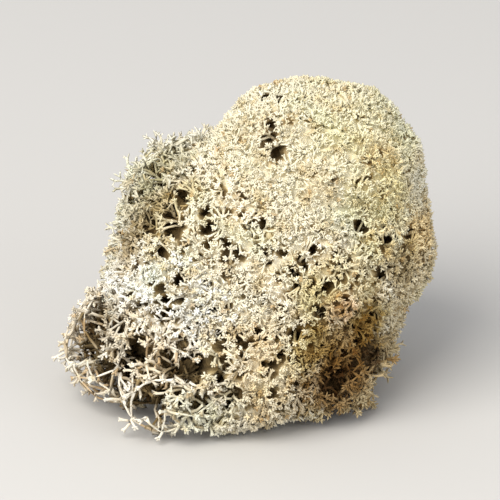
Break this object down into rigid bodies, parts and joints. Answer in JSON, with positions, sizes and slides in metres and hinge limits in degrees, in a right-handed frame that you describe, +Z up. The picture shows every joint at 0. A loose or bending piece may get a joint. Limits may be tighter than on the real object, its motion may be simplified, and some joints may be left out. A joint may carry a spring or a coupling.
{
  "type": "reindeer moss clump",
  "caption": "Dry natural clump of star-tipped reindeer lichen: pale branching crowns pressed into a cushion over old brown growth, resting on a small flat spot.",
  "frame": {"origin": "middle of the small flat spot under the old growth, which the clump rests on", "axes": "+Z up, -Y towards the front, where the open whitish sprays are at the left (-X) and the tall crown is to the right (+X)"},
  "size_m": [0.0816, 0.0695, 0.0675],
  "materials": {
    "old_growth": "dull, dry dead stems",
    "pale_green": "dull, dry, pale yellow-green",
    "cream": "dull, dry, cream",
    "whitish": "dull, dry, whitish",
    "tan": "dull, dry, tan",
    "grey": "dull, dry, greyish"
  },
  "bodies": {
    "root": {"old_base": "old_growth", "podetium_top": "pale_green", "podetium_middle": "cream", "podetium_breast": "cream", "podetium_shoulder": "grey", "podetium_left": "whitish", "podetium_front": "cream", "podetium_right": "tan", "podetium_back_right": "cream", "podetium_back": "pale_green", "podetium_back_left": "grey", "podetium_back_low": "grey", "podetium_front_right": "tan", "podetium_right_low": "tan", "spray_left": "whitish", "spray_front_left": "whitish"}
  },
  "joints": []
}
